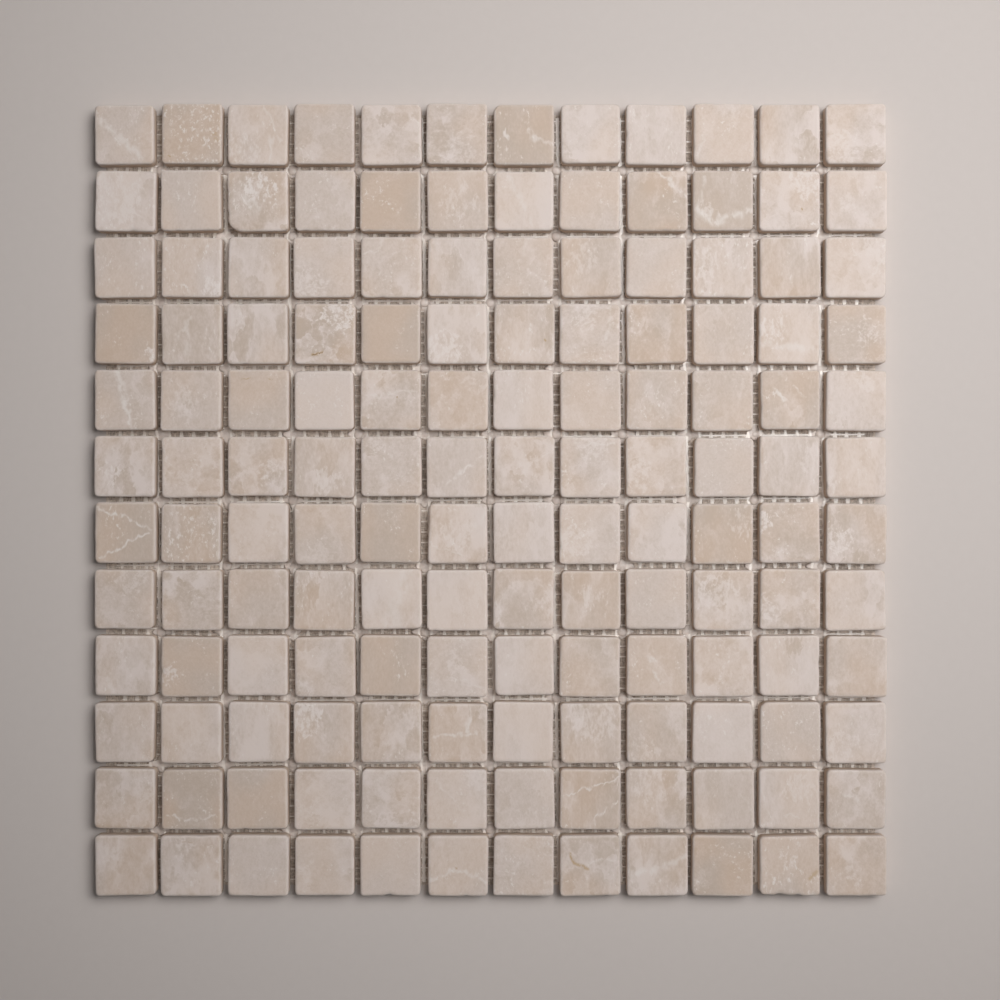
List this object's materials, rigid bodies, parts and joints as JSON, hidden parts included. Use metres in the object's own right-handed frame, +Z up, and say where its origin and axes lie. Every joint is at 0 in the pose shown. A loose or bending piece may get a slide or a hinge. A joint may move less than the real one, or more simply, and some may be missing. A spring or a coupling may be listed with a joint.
{
  "type": "mosaic tile sheet",
  "caption": "Square sheet of small tumbled cream stone tiles glued on a glass-fibre mesh, with open joints, lying flat with the faces up.",
  "frame": {"origin": "middle of the sheet on the plane that it rests on, at the underside of the mesh", "axes": "+Z up out of the tile faces, +X along the rows to the picture's right, +Y across the rows to the picture's top"},
  "size_m": [0.3033, 0.3031, 0.0084],
  "materials": {
    "stone": "tumbled, matt",
    "mesh": "resin-coated glass-fibre yarn, satin",
    "glue": "dried whitish glue, satin"
  },
  "bodies": {
    "root": {"tile_row_01": "stone", "tile_row_02": "stone", "tile_row_03": "stone", "tile_row_04": "stone", "tile_row_05": "stone", "tile_row_06": "stone", "tile_row_07": "stone", "tile_row_08": "stone", "tile_row_09": "stone", "tile_row_10": "stone", "tile_row_11": "stone", "tile_row_12": "stone", "mesh_weft": "mesh", "mesh_warp": "mesh", "glue_dots": "glue"}
  },
  "joints": []
}
